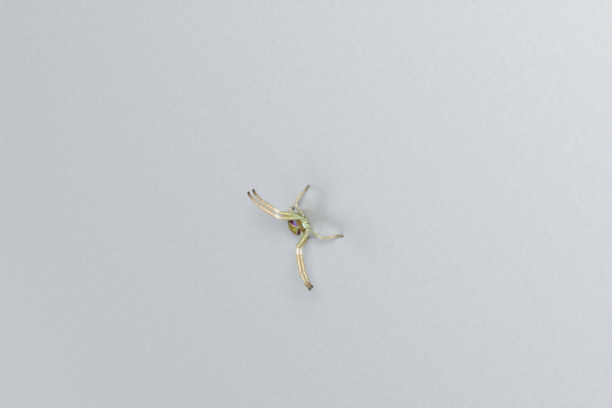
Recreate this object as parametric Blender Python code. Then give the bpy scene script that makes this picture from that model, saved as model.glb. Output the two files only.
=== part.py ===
# Crab spider, a female at life size: body low on the floor, the two front pairs of legs
# raised and spread wide, the two hind pairs standing.
# Metres, +Z up, +X to the spider's left, head towards -Y. Angles are in degrees.

import math

import bmesh
import bpy
import numpy as np

# Gaps between neighbouring pieces
JOINT_GAP = 0.0003
EYE_GAP = 0.0001

# Edges sharper than this stay sharp when a piece is shaded smooth
RIM_ANGLE = 50

# Front half of the body, its centre over the origin until the last step
BODY_HEIGHT = 0.0036
BODY_PITCH = 8
HEAD_LENGTH = 0.0031
HEAD_WIDTH = 0.0032
HEAD_TOP = 0.00098
HEAD_BOTTOM = 0.00072
FACE_BLUNTNESS = 0.46
REAR_BLUNTNESS = 0.80
FACE_NARROWING = 0.30
LOBE_PLACE = (0.00036, 0.00095, -0.00068)
LOBE_RADII = (0.00030, 0.00042, 0.00026)

# Abdomen
ABDOMEN_LENGTH = 0.0048
ABDOMEN_WIDTH = 0.0048
ABDOMEN_HEIGHT = 0.0040
ABDOMEN_BACK = 0.00385
ABDOMEN_PITCH = 7
ABDOMEN_REST = 0.00006
ABDOMEN_SWELL_BACK = 0.17
WAIST_WIDTH = 0.0008
WAIST_PLACE = (0, -0.0011, -0.00018)
WAIST_DROP = 0.0004

# Legs: where the coxae leave the body, and how long each length of leg is
HIP_RING = (0.00125, 0.0012)
COXA = 0.00110
BEND = 0.00026
BEND_START = BEND * 1.2
SIDES = 12

# Face: the jaws hang from its front, the palps stand beside them
CHELICERA_WIDTH = 0.00054
CHELICERA_TIP = 0.00034
CHELICERA_LENGTH = 0.00084
CHELICERA_ROOT = (0.00042, 0.00126, -0.00022)
CHELICERA_LEAN = (-0.00003, 0.00005)
CHELICERA_SWELL = 0.00006
PALP_ROOT = (0.00078, 0.00092, -0.00042)
PALP_LENGTHS = ((0.00042, 60, -6), (0.00030, 82, -46), (0.00040, 98, -80))
PALP_WIDTHS = (0.00040, 0.00040, 0.00042, 0.00030)
PALP_BEND = 0.00016

# Eyes in two curved rows, each as (share of the way to the waist, turn over the head, radius)
EYES = {
    "eye_front_middle": (0.145, 78, 0.00009),
    "eye_front_side": (0.175, 56, 0.00012),
    "eye_back_middle": (0.235, 79, 0.00008),
    "eye_back_side": (0.280, 52, 0.00011),
}

# Spinnerets at the tip of the abdomen
SPINNERET_LENGTH = 0.00060
SPINNERET_WIDTH = 0.00034
SPINNERET_SHARE = 0.90
SPINNERET_FALL = 28
SPINNERET_SUNK = 0.00030
SPINNERET_ROOT_WIDTH = 0.00085

# Each leg: hip angle round the body, how far the hip lies below the body's middle, then every
# length as (length, heading, rise). A heading of 0 points straight out to the leg's own side
# and 90 straight ahead. The last length of a standing leg has no rise of its own, because it
# falls to the floor.
LEGS = {
    "leg1_left": {"hip": 32, "drop": 0.0003, "coxa": (40, 30), "lengths": {
        "femur": (0.0053, -5, 64), "patella": (0.0018, -40, 17), "tibia": (0.0038, -32, 18),
        "metatarsus": (0.0029, 8, 22), "tarsus": (0.0015, 26, 19)}},
    "leg1_right": {"hip": 32, "drop": 0.0003, "coxa": (40, 30), "lengths": {
        "femur": (0.0053, 36, 70), "patella": (0.0018, 5, 31), "tibia": (0.0038, 0, 19),
        "metatarsus": (0.0029, 9, 7), "tarsus": (0.0015, 31, 4)}},
    "leg2_left": {"hip": 2, "drop": 0.0003, "coxa": (5, 20), "lengths": {
        "femur": (0.0044, -16, 52), "patella": (0.0017, -31, 19), "tibia": (0.0035, -41, 11),
        "metatarsus": (0.0027, 26, 25), "tarsus": (0.0014, 29, 17)}},
    "leg2_right": {"hip": 2, "drop": 0.0003, "coxa": (5, 20), "lengths": {
        "femur": (0.0044, 35, 63), "patella": (0.0017, 4, 29), "tibia": (0.0035, 0, 18),
        "metatarsus": (0.0027, 8, 9), "tarsus": (0.0014, 34, 8)}},
    "leg3_left": {"hip": -24, "drop": 0.00045, "coxa": (60, -27), "lengths": {
        "femur": (0.0034, 20, 22), "patella": (0.0010, 30, -2), "tibia": (0.0019, 36, -48),
        "metatarsus": (0.0016, 42, -70), "tarsus": (0.0013, 52, None)}},
    "leg3_right": {"hip": -24, "drop": 0.00045, "coxa": (60, -22), "lengths": {
        "femur": (0.0034, 53, 9), "patella": (0.0010, 66, -14), "tibia": (0.0019, 74, -22),
        "metatarsus": (0.0016, 60, -62), "tarsus": (0.0013, 56, None)}},
    "leg4_left": {"hip": -58, "drop": 0.0003, "coxa": (-46, 12), "lengths": {
        "femur": (0.0026, -8, -1), "patella": (0.0010, -74, -36), "tibia": (0.0018, -104, -42),
        "metatarsus": (0.0013, -112, -44), "tarsus": (0.0010, -114, None)}},
    "leg4_right": {"hip": -58, "drop": 0.0003, "coxa": (-48, 12), "lengths": {
        "femur": (0.0026, -22, -2), "patella": (0.0010, -60, -26), "tibia": (0.0018, -84, -50),
        "metatarsus": (0.0013, -94, -52), "tarsus": (0.0010, -96, None)}},
}

# Leg thickness along each length, as (share of the length, diameter)
ARM_THICKNESS = {
    "coxa": ((0.0, 0.00084), (1.0, 0.00072)),
    "femur": ((0.10, 0.00070), (0.38, 0.00098), (0.75, 0.00090), (1.0, 0.00076)),
    "patella": ((0.45, 0.00084), (1.0, 0.00072)),
    "tibia": ((0.30, 0.00076), (0.65, 0.00068), (1.0, 0.00056)),
    "metatarsus": ((0.20, 0.00054), (1.0, 0.00046)),
    "tarsus": ((0.40, 0.00045), (1.0, 0.00034)),
}
HIND_THICKNESS = {
    "coxa": ((0.0, 0.00070), (1.0, 0.00062)),
    "femur": ((0.12, 0.00062), (0.42, 0.00080), (1.0, 0.00058)),
    "patella": ((0.50, 0.00060), (1.0, 0.00054)),
    "tibia": ((0.35, 0.00056), (1.0, 0.00050)),
    "metatarsus": ((0.40, 0.00050), (1.0, 0.00046)),
    "tarsus": ((0.50, 0.00044), (1.0, 0.00036)),
}

# Colours, linear red, green, blue
CREAM_GREEN = (0.52, 0.50, 0.30)
PALE_SHELL = (0.62, 0.62, 0.46)
ROSE_CREAM = (0.64, 0.53, 0.38)
TAN = (0.42, 0.25, 0.08)
BONE = (0.60, 0.52, 0.36)
OLIVE = (0.44, 0.42, 0.16)
EYE_BLACK = (0.010, 0.008, 0.007)


def empty_scene():
    for thing in list(bpy.data.objects):
        bpy.data.objects.remove(thing, do_unlink=True)


def finish(name, colour, roughness):
    material = bpy.data.materials.new(name)
    material.use_nodes = True
    shader = material.node_tree.nodes["Principled BSDF"]
    shader.inputs["Base Color"].default_value = (*colour, 1.0)
    shader.inputs["Roughness"].default_value = roughness
    material.diffuse_color = (*colour, 1.0)
    return material


def smooth_mesh(name, points, faces, material):
    """A mesh whose faces all look outwards, shaded smooth but for its sharp rims."""
    mesh = bpy.data.meshes.new(name)
    mesh.from_pydata(points, [], faces)
    shape = bmesh.new()
    shape.from_mesh(mesh)
    bmesh.ops.recalc_face_normals(shape, faces=shape.faces)
    shape.to_mesh(mesh)
    shape.free()
    mesh.shade_smooth()
    mesh.set_sharp_from_angle(angle=math.radians(RIM_ANGLE))
    mesh.materials.append(material)
    return mesh


def add_rings(name, rings, material, closed_ends):
    """One closed mesh through a row of rings; a closed end narrows to a point, an open one
    gets a flat cap."""
    rings = np.asarray(rings, dtype=float)
    count, sides = rings.shape[:2]
    points = [tuple(p) for p in rings.reshape(-1, 3)]
    faces = []
    for row in range(count - 1):
        for column in range(sides):
            after = (column + 1) % sides
            low, high = row * sides, (row + 1) * sides
            faces.append((low + column, low + after, high + after, high + column))
    if closed_ends:
        for row, centre in ((0, rings[0].mean(0)), (count - 1, rings[-1].mean(0))):
            points.append(tuple(centre))
            for column in range(sides):
                edge = (row * sides + (column + 1) % sides, row * sides + column)
                if row:
                    edge = edge[::-1]
                faces.append((*edge, len(points) - 1))
    else:
        faces.append(tuple(range(sides))[::-1])
        faces.append(tuple((count - 1) * sides + column for column in range(sides)))
    mesh = smooth_mesh(name, points, faces, material)
    piece = bpy.data.objects.new(name, mesh)
    bpy.context.collection.objects.link(piece)
    return piece


def bake_modifiers(piece):
    """Puts the result of the piece's modifiers into its mesh."""
    evaluated = piece.evaluated_get(bpy.context.evaluated_depsgraph_get())
    mesh = bpy.data.meshes.new_from_object(evaluated)
    piece.modifiers.clear()
    piece.data = mesh


def keep_largest(piece):
    """Drops every closed surface but the one with the most faces."""
    mesh = piece.data
    parent = list(range(len(mesh.vertices)))

    def root(index):
        while parent[index] != index:
            parent[index] = parent[parent[index]]
            index = parent[index]
        return index

    for edge in mesh.edges:
        first, second = root(edge.vertices[0]), root(edge.vertices[1])
        parent[first] = second
    groups = {}
    for face in mesh.polygons:
        groups.setdefault(root(face.vertices[0]), []).append(tuple(face.vertices))
    faces = max(groups.values(), key=len)
    used = sorted({index for face in faces for index in face})
    place = {index: new for new, index in enumerate(used)}
    points = [tuple(mesh.vertices[index].co) for index in used]
    faces = [tuple(place[index] for index in face) for face in faces]
    piece.data = smooth_mesh(piece.name, points, faces, mesh.materials[0])


def cut(piece, cutters):
    """Takes the cutters away from the piece, and then removes them."""
    for cutter in cutters:
        cutter.hide_render = True
        cutter.display_type = "WIRE"
        step = piece.modifiers.new("cut", "BOOLEAN")
        step.operation = "DIFFERENCE"
        step.solver = "EXACT"
        step.object = cutter
    bake_modifiers(piece)
    keep_largest(piece)
    for cutter in cutters:
        bpy.data.objects.remove(cutter, do_unlink=True)


def unite(piece, others):
    """Fuses the others into the piece in one union over a collection, and removes them."""
    helpers = bpy.data.collections.new("helpers")
    for other in others:
        helpers.objects.link(other)
    step = piece.modifiers.new("union", "BOOLEAN")
    step.operation = "UNION"
    step.solver = "EXACT"
    step.operand_type = "COLLECTION"
    step.collection = helpers
    bake_modifiers(piece)
    keep_largest(piece)
    for other in others:
        bpy.data.objects.remove(other, do_unlink=True)
    bpy.data.collections.remove(helpers)


def body_point(side, ahead, up):
    """A place on the pitched front half, from its centre: across, ahead and up."""
    pitch = math.radians(BODY_PITCH)
    reach = ahead * math.cos(pitch) - up * math.sin(pitch)
    height = BODY_HEIGHT + ahead * math.sin(pitch) + up * math.cos(pitch)
    return np.array([side, -reach, height])


def signed_power(value, power):
    return np.sign(value) * np.abs(value) ** power


def head_point(share, turn, swell=0.0):
    """A place on the front half of the body: the share runs from the face at 0 to the waist
    at 1, the turn round the body from its left side over the top. Half the width follows a
    disc that is blunt and narrower at the face. The top and bottom rise and sink with it."""
    along = math.cos(math.pi * share)
    disc = math.sin(math.pi * share)
    front = max(along, 0.0)
    blunt = disc ** (FACE_BLUNTNESS if along > 0 else REAR_BLUNTNESS)
    half_width = HEAD_WIDTH / 2 * blunt * (1.0 - FACE_NARROWING * front ** 1.2) + swell
    height = (HEAD_TOP if math.sin(turn) > 0 else HEAD_BOTTOM) * blunt + swell
    across = half_width * signed_power(math.cos(turn), 0.85)
    up = height * signed_power(math.sin(turn), 0.9)
    return body_point(across, (HEAD_LENGTH / 2 + swell) * along, up)


def head_rings(swell=0.0, rows=17, columns=26):
    """The front half of the body, ring by ring from the face to the waist."""
    turns = np.linspace(0, 2 * math.pi, columns, endpoint=False)
    shares = np.linspace(0.04, 0.96, rows)
    return [np.array([head_point(share, turn, swell) for turn in turns]) for share in shares]


def abdomen_point(share, turn, swell=0.0):
    """A place on the abdomen: the share runs from its waist end at 0 to its tip at 1, the
    turn round it from its left side over the top. An egg, broadest behind its middle."""
    along = math.cos(math.pi * share)
    disc = math.sin(math.pi * share)
    half_width = ABDOMEN_WIDTH / 2 * disc ** 0.80 * (1.0 - ABDOMEN_SWELL_BACK * along) + swell
    fullness = disc ** 0.75 * (1.0 - 0.06 * along) if math.sin(turn) > 0 else disc ** 0.85
    across = half_width * signed_power(math.cos(turn), 0.95)
    up = (ABDOMEN_HEIGHT / 2 * fullness + swell) * signed_power(math.sin(turn), 0.92)
    ahead = (ABDOMEN_LENGTH / 2 + swell) * along
    pitch = math.radians(ABDOMEN_PITCH)
    middle_height = ABDOMEN_HEIGHT / 2 - ABDOMEN_REST
    return np.array([
        across,
        ABDOMEN_BACK - ahead * math.cos(pitch) + up * math.sin(pitch),
        middle_height + ahead * math.sin(pitch) + up * math.cos(pitch),
    ])


def abdomen_rings(swell=0.0, rows=19, columns=30):
    """The abdomen, ring by ring from its waist end to its tip."""
    turns = np.linspace(0, 2 * math.pi, columns, endpoint=False)
    shares = np.linspace(0.03, 0.97, rows)
    return [np.array([abdomen_point(share, turn, swell) for turn in turns]) for share in shares]


def rounded_path(joints, bend):
    """Straight lengths with a soft bend at each joint, as close points, and how far along
    the path each joint lies."""
    points = [joints[0]]
    marks = [0]
    for before, joint, after in zip(joints, joints[1:], joints[2:]):
        start = joint + (before - joint) / np.linalg.norm(before - joint) * bend
        end = joint + (after - joint) / np.linalg.norm(after - joint) * bend
        for step in np.linspace(0, 1, 9):
            points.append((1 - step) ** 2 * start + 2 * step * (1 - step) * joint + step ** 2 * end)
        marks.append(len(points) - 5)
    points.append(joints[-1])
    marks.append(len(points) - 1)
    points = np.array(points)
    reach = np.concatenate([[0], np.cumsum(np.linalg.norm(np.diff(points, axis=0), axis=1))])
    return points, reach, reach[marks]


def tube_rings(points, reach, stations, diameters, sides, sideways=(0.0, -1.0, 0.0)):
    """Round rings across the path at each station. The path never runs along the sideways
    direction, from which the rings' corners are counted."""
    turn = np.linspace(0, 2 * math.pi, sides, endpoint=False)
    rings = []
    for station, diameter in zip(stations, diameters):
        centre = np.array([np.interp(station, reach, points[:, k]) for k in range(3)])
        probe = 0.00002
        near = np.array([np.interp(station - probe, reach, points[:, k]) for k in range(3)])
        far = np.array([np.interp(station + probe, reach, points[:, k]) for k in range(3)])
        along = (far - near) / np.linalg.norm(far - near)
        across = np.cross(along, sideways)
        across /= np.linalg.norm(across)
        other = np.cross(along, across)
        rings.append(
            centre
            + diameter / 2 * (np.outer(np.cos(turn), across) + np.outer(np.sin(turn), other))
        )
    return rings


def direction(side, heading, rise):
    heading, rise = math.radians(heading), math.radians(rise)
    return np.array([
        side * math.cos(rise) * math.cos(heading),
        -math.cos(rise) * math.sin(heading),
        math.sin(rise),
    ])


def leg_joints(side, leg):
    """The joints of one leg from the hip to the tip."""
    ring = math.radians(leg["hip"])
    across, ahead = HIP_RING[0] * math.cos(ring), HIP_RING[1] * math.sin(ring)
    hip = body_point(side * across, ahead, -leg["drop"])
    joints = [hip, hip + COXA * direction(side, *leg["coxa"])]
    for length, heading, rise in leg["lengths"].values():
        if rise is None:
            rise = -math.degrees(math.asin(min(joints[-1][2] / length, 0.95)))
        joints.append(joints[-1] + length * direction(side, heading, rise))
    return joints


def leg_pieces(name, leg, materials):
    """The coxa, which is fused to the body later, and the three free lengths of one leg:
    femur, patella with tibia, and metatarsus with tarsus."""
    side = 1 if name.endswith("left") else -1
    stands = leg["lengths"]["tarsus"][2] is None
    thickness = HIND_THICKNESS if stands else ARM_THICKNESS
    joints = leg_joints(side, leg)
    if stands:
        last = joints[-1] - joints[-2]
        joints[-1] = joints[-1] + last / np.linalg.norm(last) * thickness["tarsus"][-1][1] / 2
    points, reach, marks = rounded_path(joints, BEND)
    known, widths = [], []
    for part, start, end in zip(("coxa", *leg["lengths"]), marks, marks[1:]):
        for share, diameter in thickness[part]:
            known.append(start + share * (end - start))
            widths.append(diameter)

    def piece(node, first, last, bends, material):
        room = BEND * 0.8
        middles = [mark for mark in known if first + room < mark < last - room]
        middles = [mark for mark in middles if all(abs(mark - bend) > 2 * room for bend in bends)]
        for bend in bends:
            middles += [bend - room, bend - room / 3, bend + room / 3, bend + room]
        stations = [first, *sorted(middles), last]
        diameters = np.interp(stations, known, widths)
        return add_rings(node, tube_rings(points, reach, stations, diameters, SIDES), material, False)

    hip, coxa_end, femur_end, patella_end, tibia_end, metatarsus_end, tip = marks
    femur_start, tibia_start, tarsus_start = (
        mark - BEND_START for mark in (coxa_end, femur_end, tibia_end))
    coxa = piece(name + "_coxa", hip, femur_start - JOINT_GAP, (), materials["shell"])
    piece(name + "_femur", femur_start, tibia_start - JOINT_GAP, (coxa_end,), materials["femur"])
    piece(name + "_tibia", tibia_start, tarsus_start - JOINT_GAP, (femur_end, patella_end),
          materials["tibia"])
    tarsus = piece(name + "_tarsus", tarsus_start, tip, (tibia_end, metatarsus_end),
                   materials["hind_tip"] if stands else materials["arm_tip"])
    if stands:
        cut(tarsus, [floor_block()])
    return coxa


def floor_block():
    """A wide block below the floor, which cuts the flats that the spider stands on."""
    half, depth = 0.03, 0.004
    corners = np.array([(-half, -half), (half, -half), (half, half), (-half, half)])
    rings = [np.column_stack([corners, np.full(4, level)]) for level in (-depth, 0.0)]
    return add_rings("floor_block", rings, finish("floor_block", EYE_BLACK, 1.0), False)


def ball_rings(centre, radii, rows, columns):
    """A ball with three radii, across, ahead and up, set on the pitched body."""
    turn = np.linspace(0, 2 * math.pi, columns, endpoint=False)
    rings = []
    for share in np.linspace(0.08, 0.92, rows):
        width = math.sin(math.pi * share)
        rings.append(np.array([
            body_point(
                centre[0] + radii[0] * width * math.cos(angle),
                centre[1] + radii[1] * math.cos(math.pi * share),
                centre[2] + radii[2] * width * math.sin(angle),
            )
            for angle in turn
        ]))
    return rings


def head(material, coxae):
    """Carapace and breastplate, with the coxae, the two mouth lobes and the waist fused on."""
    shell = add_rings("cephalothorax", head_rings(), material, True)
    extras = list(coxae)
    across, ahead, up = LOBE_PLACE
    for side in (1, -1):
        lobe = ball_rings((side * across, ahead, up), LOBE_RADII, 6, 10)
        extras.append(add_rings("lobe", lobe, material, True))
    waist_start = body_point(*WAIST_PLACE)
    waist_end = np.array([0.0, ABDOMEN_BACK - ABDOMEN_LENGTH * 0.40, waist_start[2] - WAIST_DROP])
    rings = stub_rings(waist_start, waist_end, WAIST_WIDTH, WAIST_WIDTH)
    waist = add_rings("waist", rings, material, False)
    cut(waist, [abdomen_cutter(material)])
    extras.append(waist)
    unite(shell, extras)
    return shell


def stub_rings(start, end, width, end_width, rows=2, sides=10, swell=0.0):
    """Round rings along a straight stub, fuller in its middle by the swell."""
    turn = np.linspace(0, 2 * math.pi, sides, endpoint=False)
    along = (end - start) / np.linalg.norm(end - start)
    across = np.cross(along, (0.0, 0.31, 0.95))
    across /= np.linalg.norm(across)
    other = np.cross(along, across)
    circle = np.outer(np.cos(turn), across) + np.outer(np.sin(turn), other)
    rings = []
    for share in np.linspace(0, 1, rows):
        diameter = width + (end_width - width) * share + swell * math.sin(math.pi * share)
        rings.append(start + (end - start) * share + diameter / 2 * circle)
    return rings


def chelicera(side, material):
    """One jaw: a stout cone that hangs from the face and leans a little forward."""
    across, ahead, up = CHELICERA_ROOT
    start = body_point(side * across, ahead, up)
    inward, forward = CHELICERA_LEAN
    end = body_point(side * (across + inward), ahead + forward, up - CHELICERA_LENGTH)
    name = "chelicera_left" if side > 0 else "chelicera_right"
    rings = stub_rings(start, end, CHELICERA_WIDTH, CHELICERA_TIP, rows=6, sides=12,
                       swell=CHELICERA_SWELL)
    jaw = add_rings(name, rings, material, False)
    cut(jaw, [head_cutter(material)])


def head_cutter(material):
    return add_rings("head_cutter", head_rings(JOINT_GAP), material, True)


def abdomen_cutter(material):
    return add_rings("abdomen_cutter", abdomen_rings(JOINT_GAP), material, True)


def palp(side, material):
    """One palp: out past the jaw, bent at the knee, its last length hanging down."""
    across, ahead, up = PALP_ROOT
    joints = [body_point(side * across, ahead, up)]
    for length, heading, rise in PALP_LENGTHS:
        joints.append(joints[-1] + length * direction(side, heading, rise))
    points, reach, marks = rounded_path(joints, PALP_BEND)
    stations = [0.0]
    for mark in marks[1:-1]:
        stations += [mark - PALP_BEND * 0.8, mark, mark + PALP_BEND * 0.8]
    stations.append(marks[-1])
    diameters = np.interp(stations, marks, PALP_WIDTHS)
    name = "palp_left" if side > 0 else "palp_right"
    rings = tube_rings(points, reach, stations, diameters, 10, sideways=(1.0, 0.0, 0.0))
    piece = add_rings(name, rings, material, False)
    cut(piece, [head_cutter(material)])


def eye(name, side, place, material):
    """One eye: a low dome a hair's breadth off the head, looking straight out of it."""
    share, turn, radius = place
    turn = math.radians(turn if side > 0 else 180 - turn)
    step = 0.01
    root = head_point(share, turn)
    back = head_point(share + step, turn) - head_point(share - step, turn)
    round_head = head_point(share, turn + step) - head_point(share, turn - step)
    outward = np.cross(back, round_head)
    outward /= np.linalg.norm(outward)
    if outward @ (root - body_point(0, 0, 0)) < 0:
        outward = -outward
    across = back / np.linalg.norm(back)
    other = np.cross(outward, across)
    turns = np.linspace(0, 2 * math.pi, 10, endpoint=False)
    circle = np.outer(np.cos(turns), across) + np.outer(np.sin(turns), other)
    rings = []
    for angle in (0, 32, 62):
        lift, width = math.sin(math.radians(angle)), math.cos(math.radians(angle))
        rings.append(root + EYE_GAP * outward + radius * (lift * outward + width * circle))
    add_rings(name, rings, material, False)


def spinnerets(material):
    """A rosette of short cones on one root, low behind the tip of the abdomen."""
    skin = abdomen_point(SPINNERET_SHARE, -math.pi / 2)
    fall = math.radians(SPINNERET_FALL)
    out = np.array([0.0, math.cos(fall), -math.sin(fall)])
    root = skin - out * SPINNERET_SUNK
    cone_root = skin + out * (JOINT_GAP + SPINNERET_LENGTH * 0.3)
    across = np.array([1.0, 0.0, 0.0])
    other = np.cross(out, across)
    cones = []
    for angle in range(30, 390, 60):
        lean = math.radians(angle)
        offset = (math.cos(lean) * across + math.sin(lean) * other) * SPINNERET_WIDTH * 0.60
        end = cone_root + offset * 1.2 + out * SPINNERET_LENGTH * 0.7
        rings = stub_rings(cone_root + offset - out * SPINNERET_LENGTH * 0.2, end,
                           SPINNERET_WIDTH, SPINNERET_WIDTH * 0.5, sides=8)
        cones.append(add_rings("cone", rings, material, False))
    rings = stub_rings(root, cone_root, SPINNERET_ROOT_WIDTH, SPINNERET_ROOT_WIDTH * 0.85, sides=14)
    group = add_rings("spinnerets", rings, material, False)
    unite(group, cones)
    cut(group, [abdomen_cutter(material)])


def centre_on_floor():
    """Moves every piece sideways so that the box round the spider is centred on the origin."""
    pieces = [thing for thing in bpy.data.objects if thing.type == "MESH"]
    corners = np.array([corner for piece in pieces for corner in piece.bound_box])
    middle = (corners.min(0) + corners.max(0)) / 2
    for piece in pieces:
        for vertex in piece.data.vertices:
            vertex.co.x -= middle[0]
            vertex.co.y -= middle[1]


def build():
    empty_scene()
    materials = {
        "shell": finish("pale_shell", PALE_SHELL, 0.42),
        "femur": finish("green_cream_leg", CREAM_GREEN, 0.42),
        "tibia": finish("rose_cream_leg", ROSE_CREAM, 0.42),
        "arm_tip": finish("tan_leg_tip", TAN, 0.45),
        "hind_tip": finish("bone_leg_tip", BONE, 0.45),
        "abdomen": finish("olive_abdomen", OLIVE, 0.48),
        "eye": finish("black_eye", EYE_BLACK, 0.08),
    }
    coxae = [leg_pieces(name, leg, materials) for name, leg in LEGS.items()]
    head(materials["shell"], coxae)
    abdomen = add_rings("abdomen", abdomen_rings(), materials["abdomen"], True)
    cut(abdomen, [floor_block(), head_cutter(materials["shell"])])
    spinnerets(materials["abdomen"])
    for side, word in ((1, "_left"), (-1, "_right")):
        chelicera(side, materials["shell"])
        palp(side, materials["shell"])
        for name, place in EYES.items():
            eye(name + word, side, place, materials["eye"])
    centre_on_floor()


build()
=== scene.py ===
import math
import bpy
import numpy as np
from mathutils import Matrix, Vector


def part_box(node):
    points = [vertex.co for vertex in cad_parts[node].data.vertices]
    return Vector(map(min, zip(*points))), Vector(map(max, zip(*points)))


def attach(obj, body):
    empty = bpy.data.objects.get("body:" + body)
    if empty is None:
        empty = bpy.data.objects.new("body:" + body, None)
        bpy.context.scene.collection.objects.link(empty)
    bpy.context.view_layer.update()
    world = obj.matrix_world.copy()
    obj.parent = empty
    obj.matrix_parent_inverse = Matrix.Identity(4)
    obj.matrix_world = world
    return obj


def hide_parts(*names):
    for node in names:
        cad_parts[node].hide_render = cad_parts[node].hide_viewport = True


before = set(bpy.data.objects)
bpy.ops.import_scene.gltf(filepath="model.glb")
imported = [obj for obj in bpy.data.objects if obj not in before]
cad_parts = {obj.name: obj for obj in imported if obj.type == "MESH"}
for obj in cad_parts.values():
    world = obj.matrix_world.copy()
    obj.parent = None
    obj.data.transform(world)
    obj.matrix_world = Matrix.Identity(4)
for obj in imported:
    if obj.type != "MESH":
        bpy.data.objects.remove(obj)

mm = 0.001
fullTurn = 2 * math.pi
sides = ((1, "left"), (-1, "right"))
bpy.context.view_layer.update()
draw = np.random.default_rng(7)
print("frame loaded")


# Small helpers for numbers

def signedPower(value, power):
    return np.sign(value) * np.abs(value) ** power


def unit(vectors):
    return vectors / np.maximum(np.linalg.norm(vectors, axis=-1, keepdims=True), 1e-12)


def smoothStep(value, low, high):
    # 0 below low, 1 above high, an even S between
    share = np.clip((value - low) / (high - low), 0, 1)
    return share * share * (3 - 2 * share)


def between(value, low, full, fading, gone):
    # rises from low to full and falls again from fading to gone
    return smoothStep(value, low, full) * (1 - smoothStep(value, fading, gone))


def hump(value, centre, width):
    # a bell: 1 at the centre, fading over the width
    return np.exp(-((value - centre) / width) ** 2)


def ripple(points, size, seed):
    # uneven swell of about that size: the mean of five sine waves in seeded directions
    wave = np.random.default_rng(seed)
    total = 0
    for part in range(5):
        way = unit(wave.normal(size=3)) * fullTurn / size * wave.uniform(0.7, 1.4)
        total = total + np.sin(points @ way + wave.uniform(0, fullTurn))
    return total / 5


def evenTurns(count):
    return np.linspace(0, fullTurn, count, endpoint=False)


def sheetGrid(low, high, rows, columns):
    # shares of the way from end to end, and turns round, each as a grid
    return np.meshgrid(np.linspace(low, high, rows), evenTurns(columns), indexing="ij")


def around(turns, first, second):
    # ways round a circle: cos(turn) * first + sin(turn) * second
    return np.cos(turns)[:, None] * first + np.sin(turns)[:, None] * second


def reachAlong(points):
    # the length of a path up to each of its points
    return np.append(0, np.cumsum(np.linalg.norm(np.diff(points, axis=0), axis=1)))


# Small helpers for meshes

bakeEdge = 0.03  # share of the page that the rows next to a pole keep from its edge


def outwards(rings):
    # the cross product of the two ways over the grid, turned away from the ring centres
    along = np.gradient(rings, axis=0)
    over = np.roll(rings, -1, 1) - np.roll(rings, 1, 1)
    normal = unit(np.cross(along, over))
    away = (normal * (rings - rings.mean(1, keepdims=True))).sum()
    return normal * (1 if away > 0 else -1)


def lifted(rings, lift):
    return rings + outwards(rings) * lift[..., None]


def fillMesh(mesh, points, quads, triangles):
    # whole arrays into the mesh; all faces are turned over if they enclose a negative volume
    fan = np.vstack([quads[:, [0, 1, 2]], quads[:, [0, 2, 3]], triangles])
    first, second, third = (points[fan[:, k]] for k in range(3))
    if (first * np.cross(second, third)).sum() < 0:
        quads, triangles = quads[:, ::-1], triangles[:, ::-1]
    order = np.concatenate([quads.ravel(), triangles.ravel()]).astype(np.int32)
    sizes = np.concatenate([np.full(len(quads), 4), np.full(len(triangles), 3)])
    mesh.vertices.add(len(points))
    mesh.vertices.foreach_set("co", points.astype(np.float32).ravel())
    mesh.loops.add(len(order))
    mesh.polygons.add(len(sizes))
    mesh.polygons.foreach_set("loop_start", (np.cumsum(sizes) - sizes).astype(np.int32))
    mesh.polygons.foreach_set("vertices", order)
    mesh.update(calc_edges=True)
    mesh.shade_smooth()
    return order


def ringFaces(start, rows, columns):
    # points numbered ring by ring, their next ones round the ring, and the four-sided faces
    ring = start + np.arange(rows * columns).reshape(rows, columns)
    after = np.roll(ring, -1, 1)
    quads = np.stack([ring[:-1], after[:-1], after[1:], ring[1:]], -1)
    return ring, after, quads.reshape(-1, 4)


def addLayout(mesh, layout):
    layer = mesh.uv_layers.new(name="OFBake")
    layer.uv.foreach_set("vector", layout.astype(np.float32).ravel())


def addMask(mesh, name, values):
    layer = mesh.attributes.new(name, "FLOAT", "POINT")
    layer.data.foreach_set("value", np.asarray(values, np.float32).ravel())


def addObject(name, data):
    made = bpy.data.objects.new(name, data)
    bpy.context.scene.collection.objects.link(made)
    return made


def addPiece(name, mesh, material, nodes=()):
    piece = addObject(name, mesh)
    mesh.materials.append(material)
    if nodes:
        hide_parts(*nodes)
    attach(piece, "root")


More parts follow.
